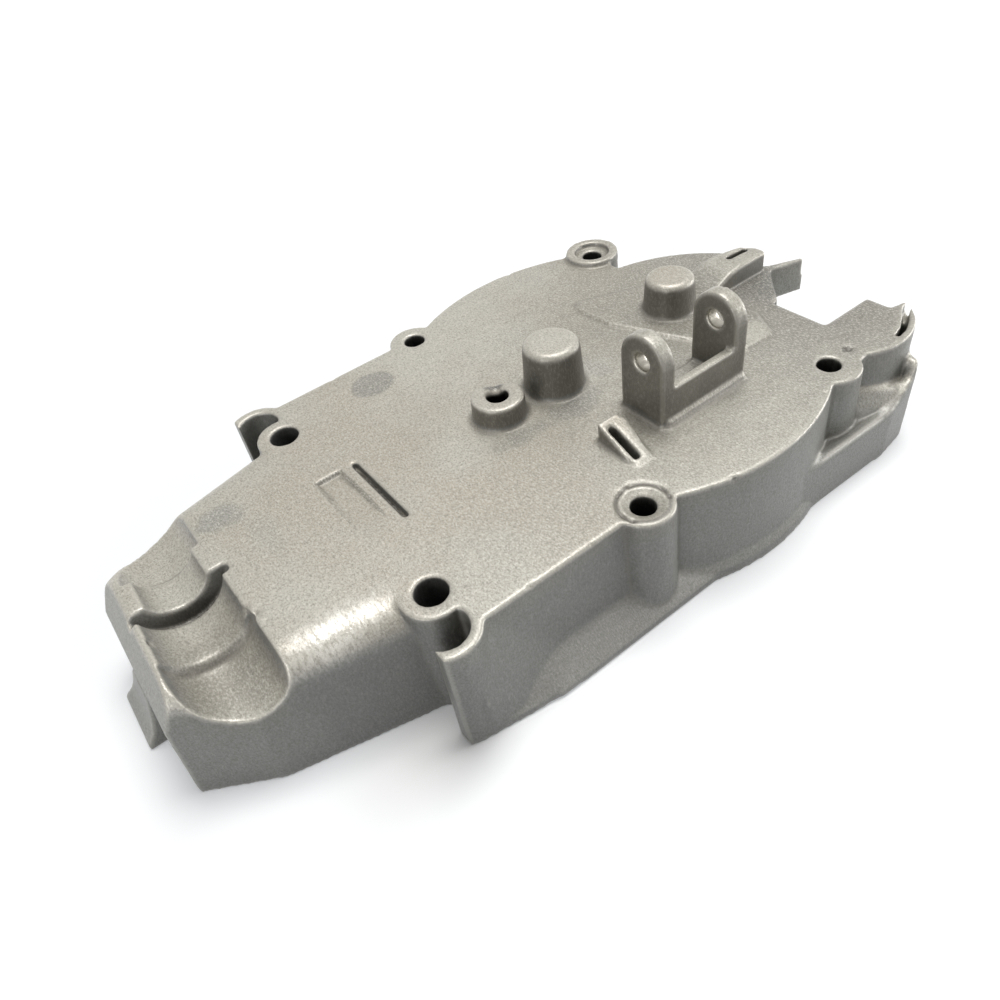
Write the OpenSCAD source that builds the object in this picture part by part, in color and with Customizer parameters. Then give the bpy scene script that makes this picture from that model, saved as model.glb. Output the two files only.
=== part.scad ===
// Gear case cover, one die cast aluminium piece.
// Millimetres. X runs from the motor end to the fork end, Y across, Z up.
// Z zero is the gasket face the cover is bolted down on. The finished part is moved
// along X so that X zero lies between its two middle screw holes.

/* [Case body] */
// overall length of the cover
cover_length = 161.7; // [161.1:0.2:162.3]
// height of the flat top face above the gasket face
deck_height = 23; // [22:0.5:26]
// thickness of the flat top face
deck_thickness = 3.4; // [3:0.2:4]
// thickness of the side walls
wall = 3.2; // [2.8:0.2:3.6]
// radius of the round gear housing at the top face
gear_radius = 42.4; // [41.8:0.2:43]
// lengthwise place of the gear housing centre
gear_x = 25.3; // [24.5:0.2:26]
// half width of the straight sides at the top face
side_half_width = 36; // [35.4:0.2:36.4]
// left end of the wide part
wide_start_x = -32; // [-32.6:0.2:-31.4]
// half width of the gasket flange along the straight sides
flange_half_width = 42; // [41.6:0.2:42.6]
// radius of the gasket flange round the gear housing
flange_radius = 44; // [43.6:0.2:44.4]
// depth of the flange edge before it ramps up to the wall
flange_edge = 1.8; // [1.4:0.2:2.4]
// height at which the flange ramp meets the wall
flange_ramp_height = 6.2; // [5.4:0.4:7]
// lengthwise place where the straight flange starts
flange_start_x = -24.4; // [-24.8:0.2:-24]

/* [Motor end] */
// half width at the gasket face beside the two large holes
motor_half_width = 29; // [28.6:0.2:29.4]
// lengthwise place from which the long sides close in
motor_root_x = -44; // [-44.4:0.2:-43.6]
// angle by which each long side closes in towards the end
motor_taper = 13.5; // [12.5:0.5:14.5]
// angle of the two short corner faces at the end
corner_angle = 30; // [28:1:32]
// distance of the corner faces from the centre of the gasket face
corner_reach = 53.6; // [53:0.2:54.2]
// lean of the motor end walls
motor_draft = 5; // [4:0.5:6]
// radius of the rounded top edges of the motor end
top_round = 6; // [5:0.5:6.5]
// height of the flared foot at the end wall
foot_height = 11.6; // [10:0.4:12.8]
// reach of the flared foot beyond the end wall
foot_reach = 3.9; // [3.3:0.2:4.5]
// width of the flared foot across the cover
foot_width = 13.4; // [12:0.2:15]
// near side of the flared foot
foot_near_y = -3.6; // [-4.4:0.2:-2.8]

/* [Stepped trough] */
// lengthwise place of the trough that crosses the motor end
trough_x = -65.8; // [-66.4:0.2:-65.2]
// radius of the trough at the near side bowl
bowl_radius = 7.5; // [7:0.1:7.8]
// height of the axis of the near side bowl
bowl_axis_height = 22.8; // [22.4:0.2:23.4]
// where the near side bowl ends
bowl_end_y = -9; // [-10:0.5:-8]
// radius of the middle step
middle_radius = 7.4; // [7:0.1:7.8]
// height of the axis of the middle step and of the raised step
middle_axis_height = 24.6; // [24.2:0.2:25]
// where the ring groove starts
groove_start_y = 1; // [0:0.5:1.5]
// width of the ring groove
groove_width = 1.8; // [1.2:0.2:2.4]
// radius of the ring groove
groove_radius = 9; // [8.4:0.2:9.2]
// radius of the raised step
raised_radius = 5.6; // [5.2:0.2:6]
// where the raised step ends
raised_end_y = 10.5; // [9.5:0.5:11.5]
// radius of the far side step
far_radius = 7.6; // [7.2:0.1:8]
// height of the axis of the far side step
far_axis_height = 25.8; // [25.4:0.2:26.4]

/* [Screw holes] */
// lengthwise place of the two large holes
large_hole_x = -35; // [-35.4:0.2:-34.6]
// distance of each large hole from the centre line
large_hole_y = 26.2; // [25.8:0.2:26.4]
// bore of the two large holes
large_hole_dia = 5.6; // [5.2:0.2:6]
// outside radius of the posts of the two large holes
large_post_radius = 5.4; // [5:0.1:5.6]
// bore of the four cover screw holes
screw_hole_dia = 4.4; // [4.2:0.1:4.8]
// lengthwise place of the middle pair of cover screws
middle_pair_x = 0.9; // [0.3:0.2:1.5]
// distance of the middle pair from the centre line
middle_pair_y = 34.9; // [34.5:0.2:35.3]
// outside radius of the middle posts
middle_post_radius = 5.4; // [5:0.1:5.8]
// lengthwise place of the fork end pair of cover screws
fork_pair_x = 50.4; // [50:0.2:51]
// distance of the fork end pair from the centre line
fork_pair_y = 32.8; // [32.4:0.2:33.2]
// outside radius of the fork end posts
fork_post_radius = 6; // [5.6:0.1:6.2]
// radius of the shallow ring turned round the near middle hole
spot_ring_radius = 4.8; // [4.4:0.1:5]
// depth of that ring and of the recess in the raised collar
spot_depth = 0.6; // [0.4:0.1:0.8]
// height of the raised collar on the far fork end post
collar_height = 1.2; // [0.8:0.1:1.6]

/* [Ears] */
// centre of the round pocket in each ear from the centre line
ear_pocket_y = 33.1; // [32.7:0.2:33.5]
// lengthwise centre of the pocket
ear_pocket_x = -37.4; // [-37.8:0.2:-37]
// outside radius of the curved ear wall
ear_radius = 6; // [5.8:0.1:6.3]
// thickness of the curved ear wall
ear_wall = 2; // [1.8:0.1:2.3]
// lengthwise end of the ears
ear_end_x = -40.7; // [-41:0.1:-40.3]
// angle by which the flange swells out towards each ear
skirt_angle = 9; // [8.6:0.2:9.4]

/* [Bearing caps and small boss] */
// lengthwise place of the tall bearing cap
tall_cap_x = 11.6; // [11.2:0.2:12]
// distance of the tall cap and the small boss from the centre line
gear_line_y = 0.2; // [0:0.1:0.4]
// radius of the tall bearing cap at its foot
tall_cap_radius = 6; // [5.8:0.1:6.2]
// height of the tall bearing cap above the top face
tall_cap_height = 9.8; // [9:0.2:10.6]
// lengthwise place of the low bearing cap
low_cap_x = 45; // [44.6:0.2:45.4]
// distance of the low bearing cap from the centre line
low_cap_y = 2.4; // [2:0.2:2.8]
// radius of the low bearing cap at its foot
low_cap_radius = 5.6; // [5.4:0.1:5.8]
// height of the low bearing cap above the top face
low_cap_height = 8; // [7.4:0.2:8.6]
// narrowing of both caps from foot to top
cap_taper = 0.5; // [0.3:0.1:0.7]
// radius of the rounded rim of both caps
cap_rim = 1.4; // [1:0.1:1.6]
// bore of the bearing pocket under the tall cap
tall_bore_dia = 7; // [6:0.5:7.5]
// bore of the bearing pocket under the low cap
low_bore_dia = 6; // [5:0.5:6.5]
// lengthwise place of the small boss
boss_x = -1.7; // [-2:0.2:-1.3]
// radius of the small boss
boss_radius = 5.1; // [4.9:0.1:5.3]
// height of the small boss
boss_height = 4.8; // [4.2:0.2:5.4]
// bore through the small boss
boss_hole_dia = 4.2; // [3.8:0.1:4.4]

/* [Lever clevis] */
// outside face of the lug nearest the motor end
clevis_x = 16; // [15.6:0.2:16.4]
// overall length of the clevis
clevis_length = 21; // [20.4:0.2:21.6]
// thickness of each lug
lug_thickness = 3; // [2.6:0.1:3.4]
// width of each lug, which is also twice its top radius
lug_width = 10.4; // [10:0.2:11]
// middle of the lugs across the cover, on the near side
lug_y = -19; // [-19.4:0.2:-18.6]
// height of the pin bore above the top face
pin_height = 11.6; // [11:0.2:12.2]
// bore for the lever pin
pin_dia = 3.6; // [3.2:0.1:4]
// height of the web that joins the lugs
web_height = 7.4; // [6.6:0.2:8.2]
// thickness of that web
web_thickness = 1.8; // [1.4:0.1:2.2]
// height of the thin raised pad under the clevis and the low cap
pad_height = 0.6; // [0.4:0.1:0.8]

/* [Spring hoods and marks] */
// height of the hood beside the clevis at its open end
near_hood_height = 4; // [3.4:0.2:4.6]
// lengthwise place of the slot through that hood
near_slot_x = 7.5; // [7.1:0.1:7.9]
// near end of that slot
near_slot_y = -27; // [-27.4:0.1:-26.6]
// length of that slot
near_slot_length = 7; // [6.6:0.1:7.4]
// height of the hood at the fork end
fork_hood_height = 4.5; // [4:0.1:5]
// lengthwise start of the slot through the fork end hood
fork_slot_x = 62.4; // [62:0.1:62.8]
// distance of that slot from the centre line
fork_slot_y = 2; // [1.7:0.1:2.3]
// length of that slot
fork_slot_length = 5.8; // [5.4:0.1:6.2]
// width of the slots in both hoods
hood_slot = 1.5; // [1.3:0.1:1.7]
// width of the deep groove in the top face
line_groove_width = 1.1; // [0.9:0.1:1.3]
// depth of that groove
line_groove_depth = 1.6; // [1:0.2:2]
// length of the groove and of the shallow recess beside it
mark_length = 18.8; // [18:0.2:19.6]
// depth of the shallow recess at its deep end
mark_depth = 0.8; // [0.5:0.1:1]

/* [Fork end] */
// lengthwise place of the floor of the notch
notch_floor_x = 60.7; // [60.3:0.2:61.1]
// near edge of the notch
notch_near_y = -24.3; // [-24.7:0.2:-23.9]
// far edge of the notch
notch_far_y = -11.6; // [-12:0.2:-11.2]
// thickness of the two fork arms
arm_thickness = 3; // [2.6:0.2:3.4]
// lengthwise end of the near arm
near_arm_x = 73.7; // [73.1:0.2:74.3]
// lengthwise centre of the curved outer wall of the near arm
near_arm_x0 = 65; // [64.8:0.1:65.2]
// centre of that wall across the cover
near_arm_y0 = -24; // [-24.2:0.1:-23.8]
// radius of the curved outer wall of the near arm
near_arm_radius = 14.1; // [13.9:0.1:14.3]
// lengthwise centre of the curved far edge
far_arm_x0 = 43.9; // [43.6:0.1:44.1]
// centre of that edge across the cover
far_arm_y0 = -7; // [-7.2:0.1:-6.8]
// radius of the curved far edge
far_arm_radius = 31.6; // [31.4:0.1:31.8]
// width of the gap between the two thin front fins
fin_gap = 1.3; // [1.1:0.1:1.5]
// lengthwise end of the prong of the far arm
prong_tip_x = 79.2; // [78.6:0.2:79.8]
// height of the lower edge of the prong
prong_foot_height = 15.2; // [14.4:0.2:16]
// height of the low shoulder beside the near arm
shoulder_height = 9.2; // [8.6:0.2:9.8]
// height of the rim along that shoulder
rim_height = 2.2; // [1.8:0.1:2.6]
// height of the ledge at the foot of the near arm wall
ledge_height = 14.6; // [14:0.2:15.2]
// height of the low shoulder on the hidden far side
far_shoulder_height = 6; // [5:0.5:6.5]

/* [Inside] */
// height of the roof over the motor end inside
motor_roof_height = 11; // [10:0.2:11.6]
// length of the bearing collars below the top face
collar_drop = 9; // [7:0.5:11]
// radius of the half round seat for the motor bearing
motor_seat_radius = 8; // [7:0.5:8.5]
// radius of the half round seat for the plunger
plunger_seat_radius = 8.5; // [7.5:0.5:9]
// thickness of the stiffening ribs
rib = 2; // [1.6:0.2:2.4]
// depth of the stiffening ribs below the top face
rib_drop = 4; // [3:0.5:6]

/* [Hidden] */
cast = [0.66, 0.65, 0.62];
top = deck_height;
far = 200;
motor_end_x = prong_tip_x - cover_length + foot_reach;
cut = 0.02;
bite = 0.05;
lug_radius = lug_width / 2;
roof = top - deck_thickness;
motor_root_reach = motor_half_width * cos(motor_taper);
flange_start_y = side_half_width + 3.8;

module mirror_y() {
    children();
    mirror([0, 1, 0]) children();
}

// a long bar of the outline given in the plane across the cover
module along_x(x0, x1) {
    translate([x0, 0, 0]) rotate([90, 0, 90]) linear_extrude(height = x1 - x0) children();
}

// a bar of the outline given in the lengthwise upright plane
module along_y(y0, y1) {
    translate([0, y1, 0]) rotate([90, 0, 0]) linear_extrude(height = y1 - y0) children();
}

// everything on the inner side of one leaning wall whose foot is at distance reach
module wall_space(x0, angle, reach, lean) {
    translate([x0, 0, 0]) rotate([0, 0, angle]) rotate([90, 0, 90]) translate([0, 0, -far])
        linear_extrude(height = 2 * far)
            polygon([[-far, -5], [reach + 5 * tan(lean), -5], [reach - 30 * tan(lean), 30],
                     [-far, 30]]);
}

// the sliver outside the rounded top edge of such a wall
module edge_sliver(x0, angle, reach, lean, h, r) {
    c = reach - (h - r) * tan(lean) - r / cos(lean);
    translate([x0, 0, 0]) rotate([0, 0, angle]) rotate([90, 0, 90]) translate([c, h - r, -60])
        difference() {
            linear_extrude(height = 120)
                polygon([[0, 0], [2 * r * cos(lean), 2 * r * sin(lean)], [2 * r, r + 1],
                         [0, r + 1]]);
            translate([0, 0, -1]) cylinder(h = 122, r = r, $fn = 48);
        }
}

// the tapered motor end, shrunk by inset for the hollow inside it
module motor_block(inset, h) {
    intersection() {
        translate([motor_end_x - 10, -50, 0]) cube([68, 100, h]);
        wall_space(motor_root_x, motor_taper, motor_root_reach - inset, motor_draft);
        wall_space(0, corner_angle, corner_reach - inset, motor_draft);
        mirror([0, 1, 0])
            wall_space(motor_root_x, motor_taper, motor_root_reach - inset, motor_draft);
        mirror([0, 1, 0]) wall_space(0, corner_angle, corner_reach - inset, motor_draft);
        end_space(inset, h);
    }
}

// one half of the motor end with its rounded top edges
module motor_end_half() {
    difference() {
        intersection() {
            motor_block(0, top);
            translate([motor_end_x - 10, 0, 0]) cube([80, 50, top]);
        }
        edge_sliver(motor_root_x, motor_taper, motor_root_reach - bite, motor_draft,
                    top - bite, top_round);
        edge_sliver(0, corner_angle, corner_reach - bite, motor_draft, top - bite, top_round);
    }
}

module motor_end() {
    motor_end_half();
    mirror([0, 1, 0]) motor_end_half();
}

// everything in front of the leaning end wall with its broad upper bevel
module end_space(inset, h) {
    x = motor_end_x + inset;
    along_y(-60, 60) polygon([[x, 0], [x + 1.2, 15.5], [x + 4.4, 22.4], [x + 5, h],
                              [60, h], [60, 0]]);
}

// the curved outer wall of an ear
module ear() {
    translate([ear_pocket_x, ear_pocket_y, 0]) intersection() {
        cylinder(h = top, r1 = ear_radius + 0.5, r2 = ear_radius, $fn = 48);
        translate([ear_end_x - ear_pocket_x, -1, -1]) cube([20, 20, top + 2]);
    }
}

// the round pocket left open between an ear and the post of its large hole
module ear_pocket() {
    difference() {
        translate([ear_pocket_x, ear_pocket_y, -1])
            cylinder(h = top + 2, r = ear_radius - ear_wall, $fn = 48);
        post(large_hole_x, large_hole_y, large_post_radius, top + 3);
    }
    translate([ear_end_x - 10, ear_pocket_y - 3, -1])
        cube([10, ear_radius, top + 2]);
}

module side_section() {
    polygon([[-side_half_width - 1.5, 0], [-side_half_width, top], [side_half_width, top],
             [side_half_width + 1.5, 0]]);
}

module flange_section() {
    polygon([[-flange_half_width, 0], [-flange_half_width + 0.1, flange_edge],
             [-side_half_width - 1.1, flange_ramp_height],
             [side_half_width + 1.1, flange_ramp_height],
             [flange_half_width - 0.1, flange_edge], [flange_half_width, 0]]);
}

module gear_section() {
    polygon([[0, 0], [flange_radius, 0], [flange_radius - 0.1, flange_edge],
             [gear_radius + 0.5, flange_edge + 2.4], [gear_radius, top], [0, top]]);
}

// the round gear housing, cut back behind the far fork end post and beside the prong
module gear_housing() {
    difference() {
        translate([gear_x, 0, 0]) rotate_extrude($fn = 96) gear_section();
        translate([0, 0, far_shoulder_height]) linear_extrude(height = far) difference() {
            translate([fork_pair_x, 10]) square([40, 60]);
            translate([far_arm_x0, far_arm_y0]) circle(far_arm_radius, $fn = 36);
        }
        translate([0, 0, -1]) linear_extrude(height = far)
            polygon([[62.2, notch_far_y], [70.4, -3], [90, -3], [90, -20], [62.2, -20]]);
    }
}

// the flange and the wall swell out towards each ear
module skirt() {
    translate([ear_pocket_x - 0.6, side_half_width, 0]) rotate([0, 0, skirt_angle])
        along_x(0, 14)
            polygon([[-4, 0], [3.5, 0], [3.4, flange_edge], [-1.1, flange_ramp_height],
                     [-4, flange_ramp_height]]);
    intersection() {
        translate([ear_pocket_x, side_half_width, 0]) rotate([0, 0, -skirt_angle - 2.6])
            along_x(0, 20)
                polygon([[-6, -1], [6.1, -1], [0.8, top + 1], [-6, top + 1]]);
        translate([ear_pocket_x - 10, 20, 0]) cube([40, flange_start_y - 20, top]);
    }
}

module post(x, y, r, h) {
    translate([x, y, 0]) cylinder(h = h, r1 = r + 0.5, r2 = r, $fn = 48);
}

module outer_posts() {
    mirror_y() post(large_hole_x, large_hole_y, large_post_radius, top);
    mirror_y() post(middle_pair_x, middle_pair_y, middle_post_radius, top);
    mirror_y() post(fork_pair_x, fork_pair_y, fork_post_radius, top);
    translate([fork_pair_x, fork_pair_y, top - 1])
        cylinder(h = 1 + collar_height, r1 = fork_post_radius + 0.2, r2 = fork_post_radius,
                 $fn = 48);
}

// plan of the near arm with its curved outer wall
module near_arm_plan() {
    intersection() {
        translate([near_arm_x0, near_arm_y0]) circle(near_arm_radius, $fn = 36);
        polygon([[50, -20], [50, -45], [75.6, -45], [75.6, -34.6], [76.6, -33.2],
                 [77.4, -30.4], [near_arm_x, -29.6], [near_arm_x, notch_near_y], [70, -20]]);
    }
}

// the gap between the two thin fins, deep at its root and open at their tips
module fin_slot_plan() {
    translate([fin_gap / 2 - 0.65, 0])
        polygon([[65.4, -36.6], [69, -36.1], [72, -34.8], [74.4, -33.3], [76.2, -32.4],
                 [79, -32.2], [79, -30.9 + fin_gap - 1.3], [76.6, -30.9 + fin_gap - 1.3],
                 [74.6, -31.7], [72.2, -33.3], [69, -35], [65.4, -36]]);
}

// plan of the top face between the round housing and the notch
module fork_plan() {
    intersection() {
        translate([far_arm_x0, far_arm_y0]) circle(far_arm_radius, $fn = 36);
        polygon([[40, -36], [notch_floor_x, -36], [notch_floor_x, notch_far_y],
                 [62.2, notch_far_y], [70.4, -3], [70.4, 40], [40, 40]]);
    }
}

// the pointed prong of the far arm, a thin upright wall
module prong() {
    intersection() {
        linear_extrude(height = top)
            polygon([[62, -0.4], [68.2, -2.1], [prong_tip_x + 1.2, -5.5],
                     [prong_tip_x + 1.2, -4.8], [72, -1], [69, 2], [62, 2]]);
        along_y(-8, 4)
            polygon([[61, prong_foot_height], [prong_tip_x, prong_foot_height],
                     [prong_tip_x - 0.2, top], [61, top]]);
    }
}

module near_shoulder_plan() {
    polygon([[33, -30], [33, -flange_half_width + 0.3], [60, -flange_half_width - 0.2],
             [67.6, -flange_half_width + 1], [69.6, -39.8], [70.8, -36.4], [71, -25],
             [60, -25]]);
}

module near_shoulder() {
    linear_extrude(height = shoulder_height) near_shoulder_plan();
    intersection() {
        linear_extrude(height = top) difference() {
            near_shoulder_plan();
            translate([-1.2, 1.7]) near_shoulder_plan();
        }
        along_y(-45, -20) polygon([[30, 0], [80, 0], [80, 17.6], [68.4, 17.6], [66.8, 15],
                 [62, 12.4], [57, shoulder_height + rim_height],
                 [30, shoulder_height + rim_height]]);
    }
    intersection() {
        linear_extrude(height = top) near_shoulder_plan();
        along_x(30, 66) polygon([[-50, 0], [-50, shoulder_height + rim_height + 0.4],
                 [-40.7, shoulder_height + rim_height - 0.2], [-36, shoulder_height - 0.4],
                 [-36, 0]]);
    }
    intersection() {
        translate([near_arm_x0, near_arm_y0, 0])
            cylinder(h = top, r1 = near_arm_radius + 10.2, r2 = near_arm_radius - 3.8,
                     $fn = 36);
        along_y(-45, -29) polygon([[49, 0], [49, 8.6], [56, ledge_height + 0.8],
                 [59, ledge_height + 0.6], [69, ledge_height - 1.4],
                 [70.8, ledge_height - 1.8], [70.8, 0]]);
        linear_extrude(height = top) near_shoulder_plan();
    }
    intersection() {
        linear_extrude(height = top) near_arm_plan();
        translate([50, -50, shoulder_height - 2]) cube([23.8, 22, 40]);
    }
}

module far_shoulder_plan() {
    polygon([[38, 25], [38, flange_half_width], [52, flange_half_width - 0.4], [60, 38.4],
             [69, 28], [71, 18], [71, 9.6], [60, 9.6]]);
}

module far_side() {
    linear_extrude(height = far_shoulder_height) far_shoulder_plan();
    linear_extrude(height = top) intersection() {
        translate([far_arm_x0, far_arm_y0]) circle(far_arm_radius, $fn = 36);
        polygon([[40, 30], [50, 30], [65, 20], [65, -6.2], [61, -10], [40, -10]]);
    }
}

module fork_end() {
    near_shoulder();
    far_side();
    translate([0, 0, top - arm_thickness]) linear_extrude(height = arm_thickness) {
        fork_plan();
        near_arm_plan();
    }
    prong();
}

// the flared foot at the middle of the end wall, narrowing upward
module foot() {
    x = motor_end_x;
    y0 = foot_near_y;
    intersection() {
        along_y(y0, y0 + foot_width)
            polygon([[x + 6, 0], [x - foot_reach, 0], [x - foot_reach + 0.1, 1.2],
                     [x - foot_reach + 1.9, 3.8], [x - 1, foot_height / 2 + 0.6],
                     [x + 0.4, foot_height], [x + 6, foot_height]]);
        along_x(x - 10, x + 10)
            polygon([[y0, 0], [y0 + foot_width, 0], [y0 + foot_width, 1.2],
                     [y0 + 7.6, foot_height], [y0, foot_height]]);
    }
}

module trough_step(y0, y1, r, z) {
    translate([trough_x, y0, z]) rotate([-90, 0, 0]) cylinder(h = y1 - y0, r = r, $fn = 48);
}

module trough() {
    trough_step(-60, bowl_end_y, bowl_radius, bowl_axis_height);
    trough_step(bowl_end_y - cut, groove_start_y + cut, middle_radius, middle_axis_height);
    trough_step(groove_start_y, groove_start_y + groove_width, groove_radius,
                middle_axis_height);
    trough_step(groove_start_y, raised_end_y + cut, raised_radius, middle_axis_height);
    trough_step(raised_end_y, 60, far_radius, far_axis_height);
}

module cap(x, y, foot_r, h, z) {
    r = foot_r - cap_taper;
    translate([x, y, z]) rotate_extrude($fn = 48) {
        polygon([[0, -1], [foot_r, -1], [foot_r, 0], [r, h - cap_rim], [r - cap_rim, h],
                 [0, h]]);
        translate([r - cap_rim, h - cap_rim]) intersection() {
            circle(cap_rim, $fn = 24);
            square(2 * cap_rim);
        }
    }
}

module small_boss() {
    translate([boss_x, gear_line_y, top - 1]) difference() {
        cylinder(h = 1 + boss_height, r1 = boss_radius + 0.2, r2 = boss_radius - 0.1,
                 $fn = 48);
        translate([0, 0, boss_height]) rotate([0, 0, 62]) translate([1, -0.9, 0])
            cube([8, 1.8, 3]);
    }
}

module lug_outline() {
    translate([lug_y, top + pin_height]) circle(lug_radius, $fn = 48);
    translate([lug_y - lug_radius, top - 1]) square([lug_width, 1 + pin_height]);
}

module clevis() {
    x1 = clevis_x + clevis_length;
    difference() {
        union() {
            along_x(clevis_x, clevis_x + lug_thickness) lug_outline();
            along_x(x1 - lug_thickness, x1) lug_outline();
        }
        along_x(clevis_x - 5, x1 + 5) translate([lug_y, top + pin_height])
            circle(d = pin_dia, $fn = 32);
    }
    translate([clevis_x, lug_y - lug_radius, top - 1])
        cube([clevis_length, web_thickness, 1 + web_height]);
    translate([clevis_x + 1, lug_y - lug_radius - 0.8, top - 1])
        cube([clevis_length - 1, lug_width, 1 + 2 * pad_height]);
}

// the thin raised pad that carries the clevis and the low cap
module pad() {
    translate([0, 0, top - 1]) linear_extrude(height = 1 + pad_height)
        polygon([[34, 19], [32, 17], [32.6, 7.4], [37, -4], [43.9, -18.9], [50.4, -19.3],
                 [51.7, -18.7], [55, -12], [53, 3], [50, 12]]);
}

module near_hood() {
    difference() {
        intersection() {
            translate([0, 0, top - 1]) linear_extrude(height = 8)
                polygon([[5.9, -18.4], [10.4, -18.4], [11.4, -20], [9.6, -28.2], [6.6, -28.2],
                         [5.6, -26]]);
            along_x(0, 20) polygon([[-30, 0], [-30, top - 0.4], [-27, top + 0.6],
                     [-18.4, top + near_hood_height], [-18, 0]]);
        }
        translate([near_slot_x - hood_slot / 2, near_slot_y, top - 3])
            cube([hood_slot, near_slot_length, 12]);
    }
}

module fork_hood() {
    intersection() {
        translate([0, 0, top - 1]) linear_extrude(height = 10)
            polygon([[52.4, -2], [69.2, -2], [69.9, -1], [69.7, 1], [68, 3.9], [66, 4.5],
                     [55.4, 7], [52.4, 2]]);
        along_y(-10, 20) polygon([[50, 0], [50, top - 0.4], [58.5, top + fork_hood_height - 0.6],
                 [62, top + fork_hood_height], [75, top + fork_hood_height], [75, 0]]);
    }
}

module solid_body() {
    motor_end();
    foot();
    along_x(wide_start_x, 40) side_section();
    along_x(flange_start_x, 40) flange_section();
    gear_housing();
    mirror_y() skirt();
    mirror_y() ear();
    outer_posts();
    fork_end();
    cap(tall_cap_x, gear_line_y, tall_cap_radius, tall_cap_height, top);
    cap(low_cap_x, low_cap_y, low_cap_radius, low_cap_height, top);
    small_boss();
    pad();
    clevis();
    near_hood();
    fork_hood();
}

module hollow() {
    difference() {
        union() {
            motor_block(wall, motor_roof_height);
            gear_hollow();
        }
        inner_posts();
    }
}

module gear_hollow() {
    translate([motor_root_x - 5, -motor_half_width + 6.2, -1])
        cube([22, 2 * (motor_half_width - 6.2), roof + 1]);
    translate([wide_start_x + wall, -side_half_width + wall, -1])
        cube([66, 2 * (side_half_width - wall), roof + 1]);
    difference() {
        translate([gear_x, 0, -1]) cylinder(h = roof + 1, r = gear_radius - wall, $fn = 36);
        translate([0, 0, -2]) linear_extrude(height = far) difference() {
            translate([fork_pair_x - wall, 5]) square([40, 60]);
            translate([far_arm_x0, far_arm_y0]) circle(far_arm_radius - wall, $fn = 36);
        }
    }
    translate([45, -22, -1]) cube([notch_floor_x - wall - 45, 38, roof + 1]);
}

// posts and collars left standing inside the hollow
module inner_posts() {
    mirror_y() post(large_hole_x, large_hole_y, large_post_radius, top);
    mirror_y() post(middle_pair_x, middle_pair_y, middle_post_radius, top);
    mirror_y() post(fork_pair_x, fork_pair_y, fork_post_radius, top);
    translate([tall_cap_x, gear_line_y, roof - collar_drop]) cylinder(h = 20, r = 8, $fn = 48);
    translate([low_cap_x, low_cap_y, roof - collar_drop]) cylinder(h = 20, r = 7.5, $fn = 48);
    translate([boss_x, gear_line_y, roof - 3]) cylinder(h = 20, r = boss_radius, $fn = 48);
    translate([5, -29, roof - 4]) cube([5.2, 12, 10]);
    translate([60, -1, roof - 4]) cube([12, 7, 10]);
    inner_ribs();
    difference() {
        translate([motor_root_x - 5, -40, 0]) cube([wall, 80, top]);
        saddle(motor_seat_radius);
    }
}

module inner_ribs() {
    translate([-30, -rib / 2, roof - rib_drop]) cube([90, rib, 20]);
    translate([tall_cap_x - rib / 2, -38, roof - rib_drop]) cube([rib, 76, 20]);
    translate([-30, -38, roof - rib_drop]) rotate([0, 0, 38]) cube([56, rib, 20]);
    translate([-30, 38, roof - rib_drop]) rotate([0, 0, -38]) cube([56, rib, 20]);
}

module saddle(r) {
    along_x(-100, -20) circle(r, $fn = 48);
}

// the half round opening for the plunger and the notch between the two arms
module front_opening() {
    along_x(40, 89) translate([0.5, 0.03]) circle(plunger_seat_radius, $fn = 48);
    translate([notch_floor_x, notch_near_y, -1]) cube([30, notch_far_y - notch_near_y, 60]);
}

module screw_holes() {
    mirror_y() translate([large_hole_x, large_hole_y, -1])
        cylinder(h = 60, d = large_hole_dia, $fn = 36);
    mirror_y() translate([middle_pair_x, middle_pair_y, -1])
        cylinder(h = 60, d = screw_hole_dia, $fn = 36);
    mirror_y() translate([fork_pair_x, fork_pair_y, -1])
        cylinder(h = 60, d = screw_hole_dia, $fn = 36);
    translate([middle_pair_x, -middle_pair_y, top - spot_depth])
        cylinder(h = 5, r = spot_ring_radius - 1.4, $fn = 48);
    translate([fork_pair_x, fork_pair_y, top + collar_height - 2 * spot_depth])
        cylinder(h = 5, r = fork_post_radius - 2, $fn = 48);
    translate([boss_x, gear_line_y, -1]) cylinder(h = 60, d = boss_hole_dia, $fn = 36);
}

module spot_ring() {
    translate([middle_pair_x, -middle_pair_y, top - spot_depth]) difference() {
        cylinder(h = 5, r = spot_ring_radius, $fn = 48);
        translate([0, 0, -1]) cylinder(h = 7, r = spot_ring_radius - 0.7, $fn = 48);
        translate([-8, -9, -1]) cube([16, 6.6, 8]);
    }
}

module bearing_bores() {
    translate([tall_cap_x, gear_line_y, -1])
        cylinder(h = 1 + top + tall_cap_height - 3, d = tall_bore_dia, $fn = 36);
    translate([low_cap_x, low_cap_y, -1])
        cylinder(h = 1 + top + low_cap_height - 3, d = low_bore_dia, $fn = 36);
}

module slots_and_marks() {
    translate([near_slot_x - hood_slot / 2, near_slot_y, -1])
        cube([hood_slot, near_slot_length, 60]);
    translate([fork_slot_x, fork_slot_y, -1]) rotate([0, 0, -4])
        cube([fork_slot_length, hood_slot * 0.8, 60]);
    translate([-29.6, -mark_length / 2 - 0.4, top - line_groove_depth])
        cube([line_groove_width, mark_length, 5]);
    along_x(-37, -31.7) polygon([[-10, top + 0.01], [9, top - mark_depth], [9, top + 3],
                                 [-10, top + 3]]);
    translate([0, 0, top - 2.2]) linear_extrude(height = 60) fin_slot_plan();
    translate([0, 0, top - 8]) linear_extrude(height = 60) intersection() {
        fin_slot_plan();
        translate([60, -45]) square([13.4, 20]);
    }
}

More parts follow.
